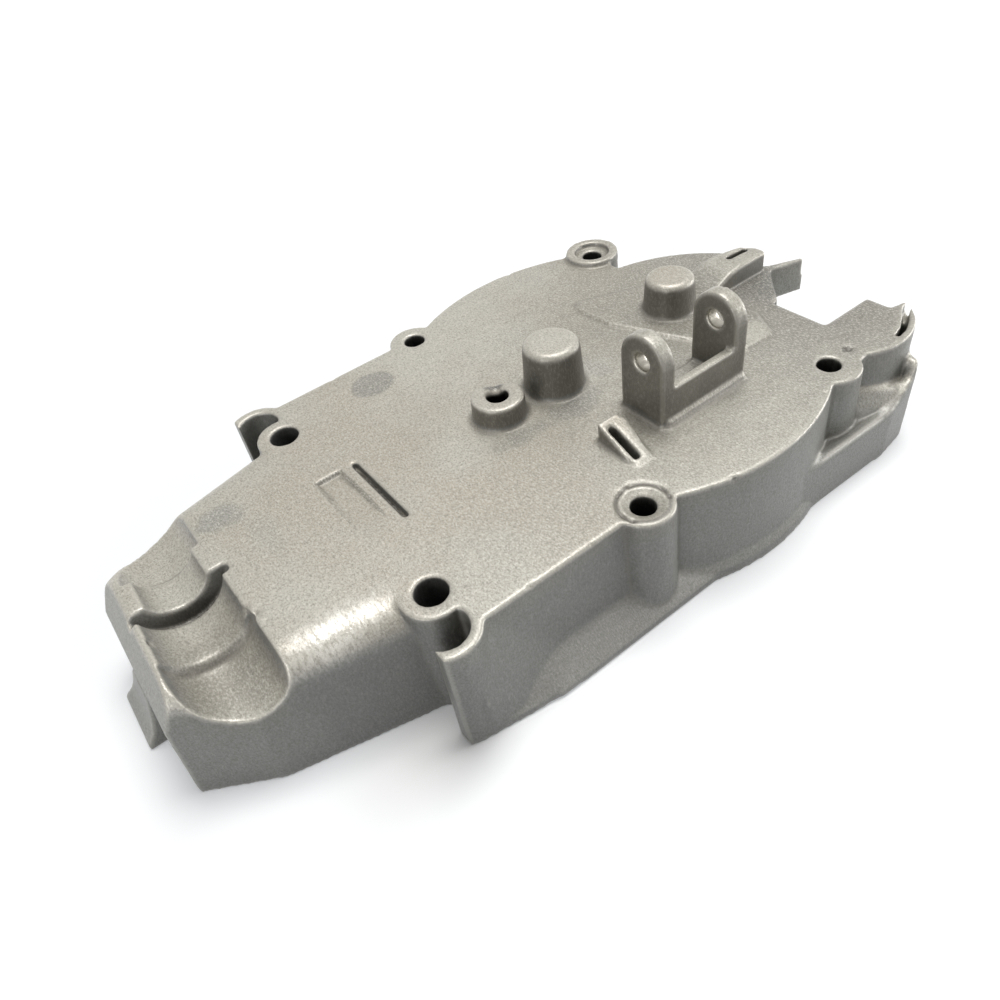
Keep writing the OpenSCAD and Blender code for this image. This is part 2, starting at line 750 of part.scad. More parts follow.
module gear_case_cover() {
    color(cast) translate([-middle_pair_x, 0, 0]) difference() {
        solid_body();
        translate([0, 0, -cut]) hollow();
        mirror_y() ear_pocket();
        trough();
        front_opening();
        screw_holes();
        spot_ring();
        bearing_bores();
        slots_and_marks();
    }
}

gear_case_cover();
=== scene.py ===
# %% [markdown]
# # A gear case cover, dressed for its portrait
# The real thing is one die casting: aluminium shot into a steel mould, broken off its
# sprue, tumbled until it is matt, and drilled. The CAD model in the frame has its true
# sizes and every form. What it lacks is what casting and handling do to metal: soft
# corners, a grainy skin, small knocks, stains and bright bores. This lesson adds those.

# %% Load the frame
import bpy
import numpy as np
from mathutils import Matrix


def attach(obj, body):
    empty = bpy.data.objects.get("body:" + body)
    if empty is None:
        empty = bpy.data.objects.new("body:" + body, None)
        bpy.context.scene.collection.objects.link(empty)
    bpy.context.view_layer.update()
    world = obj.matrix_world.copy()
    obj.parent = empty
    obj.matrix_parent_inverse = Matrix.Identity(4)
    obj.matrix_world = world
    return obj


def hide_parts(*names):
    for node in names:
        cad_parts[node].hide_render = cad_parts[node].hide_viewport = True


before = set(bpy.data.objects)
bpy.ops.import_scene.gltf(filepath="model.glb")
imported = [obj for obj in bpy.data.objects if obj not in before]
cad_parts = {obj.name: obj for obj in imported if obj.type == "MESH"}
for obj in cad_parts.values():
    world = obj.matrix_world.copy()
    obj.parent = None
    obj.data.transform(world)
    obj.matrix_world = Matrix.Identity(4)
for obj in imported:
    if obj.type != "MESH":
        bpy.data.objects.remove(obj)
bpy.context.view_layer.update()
MM = 0.001

# %% [markdown]
# ## The camera
# The picture was taken from close by with a wide lens, so near edges look larger than
# far ones. The place, the turn and the focal length were solved from points whose sizes
# are known in the CAD: screw holes, caps, lugs and corners. A camera in Blender looks
# along its own minus Z, so its matrix has right, up and back as its three columns.

# %% Camera
camera_data = bpy.data.cameras.new("portrait_camera")
camera = bpy.data.objects.new("portrait_camera", camera_data)
bpy.context.collection.objects.link(camera)
RIGHT = (0.791246, -0.597449, -0.130325)
UP = (0.495547, 0.50161, 0.709098)
BACK = (-0.358278, -0.625653, 0.692961)
EYE = (-0.063529, -0.100254, 0.114141)


def standing_at(right, up, back, place):
    """The matrix of a thing at place whose own X, Y and Z point right, up and back."""
    rows = [[right[i], up[i], back[i], place[i]] for i in range(3)]
    return Matrix(rows + [[0, 0, 0, 1]])


camera.matrix_world = standing_at(RIGHT, UP, BACK, EYE)
camera_data.sensor_width = 36.0
camera_data.lens = 36.0 * 0.7867265
camera_data.clip_start = 0.005
bpy.context.scene.camera = camera
print("lens in mm:", round(camera_data.lens, 2))

# %% [markdown]
# ## From sharp CAD faces to a cast skin
# A drawing has knife edges, a casting never has. Rounding hundreds of edges one by one
# with bevels breaks where many of them meet, so the whole skin is rebuilt instead: the
# CAD mesh is merged, turned into a fine even net by a voxel remesh, and relaxed. Each
# point moves towards the mean of its neighbours, which leaves flat faces alone and
# rounds every edge and corner by about half a millimetre, just as tumbling does.

# %% Rebuild the skin as an even net
NET = 0.34 * MM
NODE = "gear_case_cover"


def net_of(node, cell):
    """A merged copy of a CAD node's mesh, rebuilt as an even net of square cells."""
    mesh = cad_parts[node].data.copy()
    mesh.materials.clear()
    piece = bpy.data.objects.new("cast_skin", mesh)
    bpy.context.collection.objects.link(piece)
    weld = piece.modifiers.new("merge", "WELD")
    weld.merge_threshold = 1e-7
    remesh = piece.modifiers.new("net", "REMESH")
    remesh.mode = "VOXEL"
    remesh.voxel_size = cell
    finished = piece.evaluated_get(bpy.context.evaluated_depsgraph_get())
    new = bpy.data.meshes.new_from_object(finished)
    piece.modifiers.clear()
    piece.data = new
    return piece


cover = net_of(NODE, NET)
print("net:", len(cover.data.vertices), "points,", len(cover.data.polygons), "cells")

# %% Read the net as arrays


def points_of(mesh):
    """The points as an n by 3 array of millimetres."""
    flat = np.empty(len(mesh.vertices) * 3, np.float32)
    mesh.vertices.foreach_get("co", flat)
    return flat.reshape(-1, 3).astype(float) / MM


def edges_of(mesh):
    flat = np.empty(len(mesh.edges) * 2, np.int32)
    mesh.edges.foreach_get("vertices", flat)
    return flat.reshape(-1, 2)


def put_points(mesh, points):
    mesh.vertices.foreach_set("co", (points * MM).astype(np.float32).ravel())
    mesh.update()


def mean_of_neighbours(values, edges, count):
    """For each point, the plain mean of a value over the points it shares an edge with."""
    values = values.reshape(count, -1)
    total = np.stack([
        np.bincount(edges[:, 0], values[edges[:, 1], k], count)
        + np.bincount(edges[:, 1], values[edges[:, 0], k], count)
        for k in range(values.shape[1])], axis=1)
    ends = np.bincount(edges.ravel(), minlength=count)
    return total / np.maximum(ends, 1)[:, None]


# %% [markdown]
# ## Tumbled edges and cast fillets
# Relaxing by the whole way to the neighbours' mean makes the net ripple, so each round
# goes half the way. A few rounds everywhere give the tumbled edge. Places where the
# steel mould itself was rounded, such as the foot of a wall or the ramp between two
# steps of the trough, get more rounds: the further a form is relaxed, the wider its
# fillet. Each place is a box in millimetres whose influence fades over its last 1.5 mm.

# %% Relax the net
EVERYWHERE = 4
SOFT_PLACES = {
    # name: (low corner, high corner, extra rounds)
    "ramp between bowl and middle step": ((-76, -12.5, 10), (-57, -5.5, 21), 26),
    "near shoulder and its rim": ((33, -43.5, 7.5), (71.5, -29, 14), 18),
    "near ledge": ((54, -42, 12), (71.5, -29, 18.6), 14),
    "foot of the tall cap and small boss": ((-9, -8, 22), (20, 9, 24.6), 7),
    "foot of the low cap": ((37, -5, 22), (51, 10, 25), 6),
    "foot of the clevis": ((13, -26.5, 22), (39, -12, 25.2), 5),
    "edge of the raised pad": ((30, -21, 22.4), (56, 20, 24.2), 3),
    "root of the prong": ((59, -12, 14), (72, 0.5, 22.9), 9),
    "notch in the small boss": ((-4.5, 0.5, 25.2), (4, 8, 30), 60),
    "near spot ring": ((-6, -41, 21.4), (6, -29, 23.3), 3),
}
ON_BOTH_SIDES = {
    # name: (low corner, high corner, extra rounds) on the near side, mirrored to the far one
    "flange step": ((-29, -43.5, -2), (-20, -37, 5), 14),
    "flange ramp": ((-38, -41.5, 2.5), (35, -35.5, 9), 16),
    "swell of the wall": ((-36.5, -41.5, 2), (-12, -35.4, 20), 34),
}
for name, (low, high, extra) in ON_BOTH_SIDES.items():
    SOFT_PLACES["near " + name] = (low, high, extra)
    SOFT_PLACES["far " + name] = (
        (low[0], -high[1], low[2]), (high[0], -low[1], high[2]), extra)


def reach_of(points, low, high, fade=1.5):
    """1 inside the box, falling to 0 at its faces over the last fade millimetres."""
    inside = np.minimum(points - np.array(low), np.array(high) - points).min(axis=1)
    return np.clip(inside / fade, 0, 1)


skin = points_of(cover.data)
links = edges_of(cover.data)
rounds = np.full(len(skin), float(EVERYWHERE))
for low, high, extra in SOFT_PLACES.values():
    rounds = np.maximum(rounds, EVERYWHERE + extra * reach_of(skin, low, high))
for turn in range(int(rounds.max())):
    share = 0.5 * np.clip(rounds - turn, 0, 1)[:, None]
    skin += share * (mean_of_neighbours(skin, links, len(skin)) - skin)
put_points(cover.data, skin)
print("relaxed", EVERYWHERE, "to", int(rounds.max()), "rounds in", len(SOFT_PLACES), "places")

# %% [markdown]
# ## Knocks
# Castings are tumbled and shipped loose in bins, so thin edges get small dents. The
# photograph shows chips on the trough's near edge, a nick on the round rim and one
# beside a screw post. A dent is the skin pushed in along its own normal, most in the
# middle and nothing at the dent's edge, following a smooth bell curve.

# %% Press in the knocks
KNOCKS = {
    # name: (centre in mm, radius, depth)
    "chip on the trough's near edge": ((-58.6, -10.8, 22.4), 1.5, 0.7),
    "second chip beside it": ((-59.3, -8.6, 22.6), 1.2, 0.45),
    "chip further out": ((-57.7, -13.4, 22.2), 1.1, 0.4),
    "small chip further in": ((-60.2, -5.6, 22.8), 0.9, 0.3),
    "nick on the round rim": ((14.5, -41.3, 22.7), 1.0, 0.5),
    "small nick left of it": ((10.2, -40.3, 22.8), 0.7, 0.25),
    "nick beside the fork end post": ((55.9, -32.4, 22.9), 1.3, 0.6),
    "dent left of the near post": ((-24.0, -36.0, 22.9), 0.8, 0.25),
    "dent nearer to the near post": ((-12.0, -36.0, 22.9), 0.7, 0.2),
    "nick on the round rim's right": ((42.0, -37.5, 22.8), 0.8, 0.25),
    "dent on the end wall's edge": ((-73.6, -4.0, 22.2), 1.0, 0.35),
    "nick on the far round rim": ((31.0, 41.8, 22.8), 0.9, 0.3),
    "dent by the far post": ((-20.0, 36.0, 22.8), 0.8, 0.25),
    "nick by the far fork end post": ((60.0, 17.5, 22.8), 0.9, 0.3),
}
normals = np.empty(len(skin) * 3, np.float32)
cover.data.vertices.foreach_get("normal", normals)
normals = normals.reshape(-1, 3)
for centre, radius, depth in KNOCKS.values():
    away = np.linalg.norm(skin - np.array(centre), axis=1) / radius
    bell = np.exp(-2.5 * away ** 2) * (away < 1.8)
    skin -= (depth * bell)[:, None] * normals
put_points(cover.data, skin)
print("knocks:", len(KNOCKS))

# %% [markdown]
# ## Fewer triangles
# Flat faces don't need such fine cells. Decimate joins cells where the surface is
# flat and leaves them where it bends, so the piece stays under 200,000 triangles and
# every rounded edge keeps its shape.

# %% Thin the net
TRIANGLES = 190000


def thinned(piece, target):
    """The piece's mesh after a Decimate collapse to about the target number of triangles."""
    triangles = sum(len(p.vertices) - 2 for p in piece.data.polygons)
    thin = piece.modifiers.new("thin", "DECIMATE")
    thin.ratio = target / triangles
    finished = piece.evaluated_get(bpy.context.evaluated_depsgraph_get())
    new = bpy.data.meshes.new_from_object(finished)
    piece.modifiers.clear()
    piece.data = new
    new.shade_smooth()
    return triangles, sum(len(p.vertices) - 2 for p in new.polygons)


print("triangles before and after:", thinned(cover, TRIANGLES))

# %% [markdown]
# ## Where the metal is worn and where dirt stays
# Tumbling stones rub the outer edges bright and never reach the inner corners. Both
# follow from how the surface bends, so the bend is measured and kept on the mesh. Along
# each edge two triangles meet at an angle. The angle times the edge's length, summed
# round a point and divided by the area round it, is the mean bend there: positive on
# outer edges, negative in inner corners, zero on flats.

# %% Measure the bend


def bend_of(mesh):
    """Signed mean bend per point in 1/mm: sum over edges of angle times length over area."""
    points = points_of(mesh)
    mesh.calc_loop_triangles()
    tri = np.empty(len(mesh.loop_triangles) * 3, np.int32)
    mesh.loop_triangles.foreach_get("vertices", tri)
    tri = tri.reshape(-1, 3)
    a, b, c = (points[tri[:, k]] for k in range(3))
    cross = np.cross(b - a, c - a)
    area = np.linalg.norm(cross, axis=1) / 2
    normal = cross / np.maximum(2 * area, 1e-12)[:, None]
    start = np.concatenate([tri[:, 0], tri[:, 1], tri[:, 2]]).astype(np.int64)
    end = np.concatenate([tri[:, 1], tri[:, 2], tri[:, 0]]).astype(np.int64)
    face = np.tile(np.arange(len(tri)), 3)
    key = np.minimum(start, end) * len(points) + np.maximum(start, end)
    order = np.argsort(key, kind="stable")
    same = np.flatnonzero(key[order][1:] == key[order][:-1])
    first, second = order[same], order[same + 1]
    n0, n1 = normal[face[first]], normal[face[second]]
    along = points[end[first]] - points[start[first]]
    length = np.linalg.norm(along, axis=1)
    turn = np.einsum("ij,ij->i", np.cross(n0, n1), along / np.maximum(length, 1e-9)[:, None])
    angle = np.arctan2(turn, np.einsum("ij,ij->i", n0, n1)) * length / 4
    count = len(points)
    summed = (np.bincount(start[first], angle, count) + np.bincount(end[first], angle, count))
    share = sum(np.bincount(tri[:, k], area / 3, count) for k in range(3))
    bend = summed / np.maximum(share, 1e-6)
    pairs = np.stack([start[first], end[first]], axis=1)
    for _ in range(3):
        bend = 0.5 * bend + 0.5 * mean_of_neighbours(bend, pairs, count)[:, 0]
    return bend


def keep(mesh, name, values):
    layer = mesh.attributes.new(name, "FLOAT", "POINT")
    layer.data.foreach_set("value", np.asarray(values, np.float32))


bend = bend_of(cover.data)
keep(cover.data, "rubbed", np.clip(bend / 0.5, 0, 1))
keep(cover.data, "sheltered", np.clip(-bend / 0.5, 0, 1))
print("bend in 1/mm, 1% and 99%:", np.percentile(bend, [1, 99]).round(2))

# %% [markdown]
# ## Flanks
# Upright walls and low ledges get far less of the overhead light than flat tops, so their grey is
# darkened here as painted shade. How upright the skin is follows from the length of its normal's
# z: 1 on a level face and 0 on a wall. A second measure adds all that lies under the highest
# ledge, about 10 mm below the deck.

# %% Keep how upright the skin is
normals = np.empty(len(cover.data.vertices) * 3, np.float32)
cover.data.vertices.foreach_get("normal", normals)
level = np.abs(normals.reshape(-1, 3)[:, 2])
upright = np.clip((0.8 - level) / 0.5, 0, 1)
LEDGE_TOP = 14.0
low_lying = np.clip((LEDGE_TOP - points_of(cover.data)[:, 2]) / 3, 0, 0.85)
# Painted shade: this mask darkens walls and low ledges in the finish below.
keep(cover.data, "painted_wall_shade", np.maximum(upright, low_lying))
print("share of points on flanks:", round(float((level < 0.5).mean()), 2))

# %% [markdown]
# ## Tumbled cast aluminium
# The finish is built from layers on Object coordinates, which are metres on the part itself, so
# the pattern stays put in every view. A broad cloudy layer and a fine grain change the grey a
# little, a stretched grain gives the short rub marks, and the rubbed edges are lighter and
# smoother. Painted shade darkens the sheltered corners and the walls, and darkens most of all the
# sides of what stands on the deck: the caps, the small boss and the clevis.

# %% A small kit for materials


class Finish:
    """A material's node tree with short calls for the nodes this lesson needs."""

    def __init__(self, name):
        self.material = bpy.data.materials.new(name)
        self.material.use_nodes = True
        self.tree = self.material.node_tree
        self.shader = self.tree.nodes["Principled BSDF"]
        self.place = self.add("ShaderNodeTexCoord").outputs["Object"]

    def add(self, kind, **settings):
        node = self.tree.nodes.new(kind)
        for key, value in settings.items():
            setattr(node, key, value)
        return node

    def link(self, source, target):
        """Join a socket to an input, or set the input where the source is a plain value."""
        if isinstance(source, bpy.types.NodeSocket):
            self.tree.links.new(source, target)
        else:
            target.default_value = source

    def math(self, operation, a, b=0.0, clamp=False):
        node = self.add("ShaderNodeMath", operation=operation, use_clamp=clamp)
        self.link(a, node.inputs[0])
        self.link(b, node.inputs[1])
        return node.outputs[0]

    def grain(self, scale, detail=3.0, stretch=None, roughness=0.55):
        """Noise between 0 and 1, of so many waves a metre, stretched on each axis."""
        source = self.place
        if stretch:
            mapping = self.add("ShaderNodeMapping")
            mapping.inputs["Scale"].default_value = stretch
            self.link(source, mapping.inputs["Vector"])
            source = mapping.outputs[0]
        noise = self.add("ShaderNodeTexNoise")
        noise.inputs["Scale"].default_value = scale
        noise.inputs["Detail"].default_value = detail
        noise.inputs["Roughness"].default_value = roughness
        self.link(source, noise.inputs["Vector"])
        return noise.outputs["Fac"]

    def mix(self, factor, a, b):
        """Colour a where the factor is 0 and colour b where it is 1."""
        node = self.add("ShaderNodeMix", data_type="RGBA")
        self.link(factor, node.inputs["Factor"])
        self.link(a, node.inputs["A"])
        self.link(b, node.inputs["B"])
        return node.outputs["Result"]

    def ramp(self, value, low, high, to_low=0.0, to_high=1.0):
        """A smooth change from to_low to to_high as the value goes from low to high."""
        node = self.add("ShaderNodeMapRange", interpolation_type="SMOOTHSTEP")
        self.link(value, node.inputs["Value"])
        node.inputs["From Min"].default_value = low
        node.inputs["From Max"].default_value = high
        node.inputs["To Min"].default_value = to_low
        node.inputs["To Max"].default_value = to_high
        return node.outputs[0]

    def kept(self, name):
        """A value that was kept on the mesh under this name."""
        node = self.add("ShaderNodeAttribute", attribute_name=name)
        return node.outputs["Fac"]

    def spot(self, centre, reach, ragged=0.25, soft=0.5):
        """1 inside an ellipsoid at centre (mm) with half axes reach (mm), 0 outside."""
        mapping = self.add("ShaderNodeMapping", vector_type="TEXTURE")
        mapping.inputs["Location"].default_value = [v * MM for v in centre]
        mapping.inputs["Scale"].default_value = [v * MM for v in reach]
        self.link(self.place, mapping.inputs["Vector"])
        length = self.add("ShaderNodeVectorMath", operation="LENGTH")
        self.link(mapping.outputs[0], length.inputs[0])
        wobble = self.math("MULTIPLY", self.math("SUBTRACT", self.ragged_noise, 0.5),
                           4 * ragged)
        distance = self.math("ADD", length.outputs["Value"], wobble)
        return self.ramp(distance, 1 - soft, 1 + soft * 0.3, 1.0, 0.0)


def grey(r, g, b):
    """An 8 bit screen colour as the linear colour that a node takes."""
    return tuple(((v / 255 + 0.055) / 1.055) ** 2.4 for v in (r, g, b)) + (1.0,)


# %% Mix the finish
DECK_TOP = 23.0
cast = Finish("tumbled_cast_aluminium")
cast.ragged_noise = cast.grain(260.0, 4.0)
clouds = cast.grain(30.0, 3.0)
fine = cast.grain(2900.0, 3.0, roughness=0.8)
rub = cast.grain(1500.0, 4.0, stretch=(2.2, 1.0, 0.7), roughness=0.8)
deck = cast.mix(cast.ramp(clouds, 0.38, 0.62), grey(170, 163, 149), grey(180, 176, 165))
# Painted shade: walls and low ledges take a darker copy of the deck's grey, and the sides of what
# stands above the deck take a darker one still.
painted_wall_shade = cast.mix(cast.ramp(clouds, 0.38, 0.62), grey(124, 124, 122), grey(135, 135, 131))
split = cast.add("ShaderNodeSeparateXYZ")
cast.link(cast.place, split.inputs[0])
above_deck = cast.ramp(split.outputs["Z"], (DECK_TOP + 0.2) * MM, (DECK_TOP + 1.6) * MM)
painted_wall_shade = cast.mix(above_deck, painted_wall_shade, grey(98, 95, 88))
wall_shade_share = cast.kept("painted_wall_shade")
colour = cast.mix(wall_shade_share, deck, painted_wall_shade)
rubbed = cast.kept("rubbed")
sheltered = cast.kept("sheltered")
print("kept on the mesh:", [a.name for a in cover.data.attributes if a.data_type == "FLOAT"])

# %% [markdown]
# ## Stains, smudges and painted shade
# The photograph shows a grey oval where something stood on the deck and bluish smears by the
# trough. Painted shade darkens the forked end, the near arm, the root and foot of the prong, the
# deck by the near edge, the bowl, the trough's ring groove, the ears' pockets, the recess and the
# line groove beside it, the notch of the small boss and the deck behind the clevis. It also
# darkens the deck in front of the small boss and the tall cap, where it is mixed with a painted
# reflection. Painted light brightens the prong's face and, together with painted shade, evens out
# the clevis. Each is a soft ellipsoid on Object coordinates whose edge is made ragged by noise,
# so it sits where it belongs on the metal and looks soft, not like a drawn disc. The two grains
# are mixed in after the stains: a stain dulls the metal and doesn't wipe its grain away.

# %% Place the stains, painted light and painted shade
STAINS_AND_PAINTED_LIGHT_AND_SHADE = {
    # name: (centre in mm, half axes in mm, strength, colour, raggedness, softness)
    "grey oval on the deck": (
        (-14.9, 27.6, 23.0), (4.9, 4.3, 2.0), 0.85, grey(130, 129, 122), 0.07, 0.16),
    # Painted shade: a darker forked end, deck by the near edge, prong root and near arm.
    "painted shade on the forked end": (
        (68.0, -6.0, 23.0), (64.0, 58.0, 6.0), 0.85, grey(117, 114, 106), 0.15, 0.9),
    "painted shade on the deck by the near edge": (
        (-6.0, -34.0, 23.0), (46.0, 24.0, 4.0), 0.4, grey(136, 132, 123), 0.15, 0.9),
    "painted shade at the root of the prong": (
        (65.5, -6.0, 23.0), (11.0, 12.0, 4.0), 0.8, grey(92, 91, 86), 0.15, 0.8),
    "painted shade on the near arm": (
        (66.0, -26.0, 23.0), (12.0, 10.0, 4.0), 0.55, grey(112, 109, 101), 0.15, 0.8),
    # Painted light on the prong's face.
    "painted light on the prong": (
        (74.0, -4.0, 19.0), (8.0, 4.0, 5.5), 0.5, grey(176, 175, 166), 0.15, 0.5),
    # Painted shade in the bowl, the trough's ring groove and the ears' pockets.
    "painted shade in the bowl": (
        (-65.8, -14.0, 17.0), (9.0, 13.0, 6.0), 0.5, grey(114, 109, 100), 0.2, 0.7),
    "painted shade in the ring groove of the trough": (
        (-66.0, 1.9, 16.5), (9.0, 1.3, 4.6), 0.92, grey(58, 55, 50), 0.1, 0.4),
    "painted shade in the near ear's pocket": (
        (-36.0, -33.2, 14.5), (4.2, 4.4, 10.0), 0.85, grey(46, 43, 38), 0.2, 0.6),
    "painted shade in the far ear's pocket": (
        (-36.0, 33.2, 14.5), (4.2, 4.4, 10.0), 0.85, grey(46, 43, 38), 0.2, 0.6),
    # Painted shade along the recess and the line groove.
    "painted shade at the far end of the recess": (
        (-35.2, 8.9, 22.6), (3.3, 0.55, 1.3), 0.85, grey(84, 81, 74), 0.1, 0.3),
    "painted shade on the right wall of the recess": (
        (-32.6, 0.5, 22.6), (0.5, 9.6, 1.3), 0.6, grey(96, 93, 86), 0.1, 0.4),
    "painted shade on the left wall of the recess": (
        (-37.9, 0.5, 22.6), (0.45, 9.4, 1.3), 0.3, grey(110, 107, 99), 0.1, 0.4),
    "painted shade in the line groove": (
        (-30.05, -0.4, 21.6), (0.5, 10.0, 1.3), 0.96, grey(46, 43, 39), 0.02, 0.2),
    # Painted light and shade: evens out the darkened sides and top of the clevis.
    "painted light and shade on the clevis": (
        (25.6, -19.0, 36.0), (17.0, 10.0, 13.0), 0.45, grey(142, 140, 130), 0.1, 0.3),
    "bright corner of the raised pad": (
        (47.4, -15.6, 24.0), (5.5, 4.2, 1.2), 0.7, grey(186, 182, 170), 0.1, 0.4),
    # Painted shade and reflection on the deck in front of the small boss and the tall cap.
    "painted shade and reflection in front of the small boss": (
        (-3.2, -7.2, 23.0), (6.5, 2.6, 1.6), 0.5, grey(122, 123, 119), 0.3, 0.6),
    "painted shade and reflection in front of the tall cap": (
        (9.0, -8.2, 23.0), (7.5, 3.6, 1.6), 0.5, grey(120, 122, 119), 0.3, 0.6),
    # Painted shade in the notch of the small boss.
    "painted shade in the notch of the small boss": (
        (-0.8, 3.6, 27.6), (2.2, 1.7, 1.4), 0.85, grey(60, 60, 58), 0.3, 0.5),
    # Painted shade on the deck behind the clevis.
    "painted shade behind the clevis": (
        (19.5, -1.5, 23.0), (4.0, 5.0, 2.0), 0.25, grey(140, 142, 139), 0.3, 0.6),
    "mark to the right of the low cap": (
        (58.4, 8.2, 23.4), (1.3, 2.2, 2.0), 0.85, grey(80, 79, 74), 0.2, 0.4),
    "smear by the trough's far end": (
        (-55.0, 13.6, 22.5), (5.0, 4.0, 4.0), 0.6, grey(128, 131, 127), 0.35, 0.6),
    "smear along the trough": (
        (-50.0, 4.0, 22.8), (3.0, 8.0, 3.0), 0.2, grey(146, 147, 142), 0.35, 0.6),
    "dark mark by the fork end post": (
        (55.8, -32.1, 22.8), (1.6, 0.9, 1.2), 0.8, grey(58, 55, 50), 0.3, 0.5),
    # Painted shade at the foot of the prong.
    "painted shade at the foot of the prong": (
        (69.0, -3.4, 19.5), (2.6, 1.6, 3.6), 0.55, grey(74, 72, 68), 0.2, 0.6),
}
for centre, reach, strength, tone, ragged, soft in STAINS_AND_PAINTED_LIGHT_AND_SHADE.values():
    mask = cast.math("MULTIPLY", cast.spot(centre, reach, ragged, soft), strength)
    colour = cast.mix(mask, colour, tone)
colour = cast.mix(cast.ramp(fine, 0.4, 0.7, 0.0, 0.68), colour, grey(104, 101, 93))
rub_share = cast.math("MULTIPLY", cast.ramp(rub, 0.45, 0.7, 0.0, 0.65),
                      cast.math("SUBTRACT", 1.0, cast.math("MULTIPLY", wall_shade_share, 0.75)))
colour = cast.mix(rub_share, colour, grey(208, 205, 195))
print("stains:", len(STAINS_AND_PAINTED_LIGHT_AND_SHADE))

# %% [markdown]
# ## Holes, slots and bores
# Screw holes and the two hoods' slots read as black in the photograph, because little light gets
# into them, so they get painted shade: near black, dull and not metallic. A hole's spot is very
# long, so that it works like a drilled column of painted shade, and the slots and the gap between
# the fins get shorter ones. The two bores of the lugs are the opposite: they were reamed after
# tumbling, so they are bare and smooth. The spot ring round the near middle hole gets a thin line
# of painted shade in its step.

# %% Holes in painted shade, bright bores
DEEP = 400.0
SCREW_HOLES = {
    # pair: (x, y on the far side, radius of the painted shade) in mm
    "ear hole": (-35.9, 26.2, 2.9),
    "middle hole": (0.0, 34.9, 2.3),
    "fork end hole": (49.5, 32.8, 2.3),
}
HOLE_SHADE = {}
for name, (x, y, radius) in SCREW_HOLES.items():
    HOLE_SHADE["near " + name] = ((x, -y, 9.0), (radius, radius, DEEP))
    HOLE_SHADE["far " + name] = ((x, y, 9.0), (radius, radius, DEEP))
HOLE_SHADE |= {
    # name: (centre in mm, half axes in mm)
    "hole of the small boss": ((-2.6, 0.2, 16.0), (2.2, 2.2, DEEP)),
    "slot of the near hood": ((6.6, -23.5, 14.0), (0.95, 4.0, 12.0)),
    "slot of the far hood": ((64.4, 2.3, 18.0), (3.4, 0.85, 11.0)),
    "gap between the fins": ((68.5, -35.0, 17.0), (5.0, 1.6, 4.6)),
}
# Painted shade: the holes, slots and the gap between the fins are turned near black.
hole_shade = 0.0
for centre, reach in HOLE_SHADE.values():
    mask = cast.spot(centre, reach, 0.01, 0.08)
    hole_shade = cast.math("MAXIMUM", hole_shade, mask)
bore = cast.spot((25.6, -19.0, 34.6), (DEEP, 2.05, 2.05), 0.0, 0.06)
colour = cast.mix(bore, colour, grey(168, 164, 154))
# Painted shade: a thin dark line in the spot ring's step.
ring = cast.math("SUBTRACT", cast.spot((0.0, -34.9, 22.8), (4.95, 4.95, 3.0), 0.01, 0.08),
                 cast.spot((0.0, -34.9, 22.8), (4.2, 4.2, 3.0), 0.01, 0.1), clamp=True)
colour = cast.mix(cast.math("MULTIPLY", ring, 0.6), colour, grey(66, 64, 59))
print("soot places:", len(HOLE_SHADE))

# %% [markdown]
# ## Edges, corners in painted shade and the bright sweep of the motor end
# Tumbling wears the outer edges lighter, and the inner corners get painted shade; the two
# curvature masks kept on the mesh give both. One place is spared the wear, the thin sheltered
# root of the prong. The rounded near edge of the motor end was rubbed to near bare metal: there
# the skin turns smoother and metallic in fine streaks across the edge and mirrors the lamps, and
# its grey is turned light as a painted highlight, the bright band in the photograph.

# %% Edges, corners and shine
unrubbed = cast.math("SUBTRACT", 1.0, cast.spot((67.0, -7.0, 22.0), (6.0, 8.0, 5.0), 0.0, 0.4))
rubbed = cast.math("MULTIPLY", rubbed, unrubbed)
colour = cast.mix(cast.ramp(rubbed, 0.3, 1.0, 0.0, 0.24), colour, grey(196, 192, 182))
streaks = cast.grain(1700.0, 3.0, stretch=(1.0, 0.35, 0.35), roughness=0.7)
# The light streaked grey is a painted highlight; the lower roughness and the metal are real
# polish.
polish_and_painted_highlight = cast.math("MULTIPLY", cast.spot((-49.6, -21.6, 21.0), (11.0, 4.6, 4.4), 0.1, 0.7),
                   cast.ramp(streaks, 0.4, 0.6, 0.2, 1.0))
colour = cast.mix(cast.math("MULTIPLY", polish_and_painted_highlight, 0.75), colour, grey(222, 219, 211))
# Painted shade in the inner corners.
corner_shade = cast.math("MULTIPLY", cast.ramp(sheltered, 0.15, 0.9), cast.ramp(rub, 0.3, 0.7, 0.5, 1.0))
colour = cast.mix(cast.math("MULTIPLY", corner_shade, 0.55), colour, grey(92, 88, 80))
# Painted shade: near black where the hole masks are.
colour = cast.mix(cast.math("MULTIPLY", hole_shade, 0.98), colour, grey(9, 9, 9))
cast.link(colour, cast.shader.inputs["Base Color"])
gloss = cast.math("MULTIPLY", cast.math("SUBTRACT", 1.0, hole_shade), 0.5)
cast.link(gloss, cast.shader.inputs["Specular IOR Level"])
shine = cast.ramp(fine, 0.3, 0.7, 0.34, 0.48)
shine = cast.math("SUBTRACT", shine, cast.ramp(rubbed, 0.2, 1.0, 0.0, 0.06))
shine = cast.math("SUBTRACT", shine, cast.math("MULTIPLY", polish_and_painted_highlight, 0.12))
shine = cast.math("SUBTRACT", shine, cast.math("MULTIPLY", bore, 0.06))
shine = cast.math("ADD", shine, cast.math("MULTIPLY", hole_shade, 0.4), clamp=True)
cast.link(shine, cast.shader.inputs["Roughness"])
metal = cast.math("MULTIPLY", cast.math("SUBTRACT", 1.0, hole_shade), 0.3)
metal = cast.math("ADD", metal, cast.math("MULTIPLY", polish_and_painted_highlight, 0.4), clamp=True)
metal = cast.math("ADD", metal, cast.math("MULTIPLY", bore, 0.5), clamp=True)
cast.link(metal, cast.shader.inputs["Metallic"])

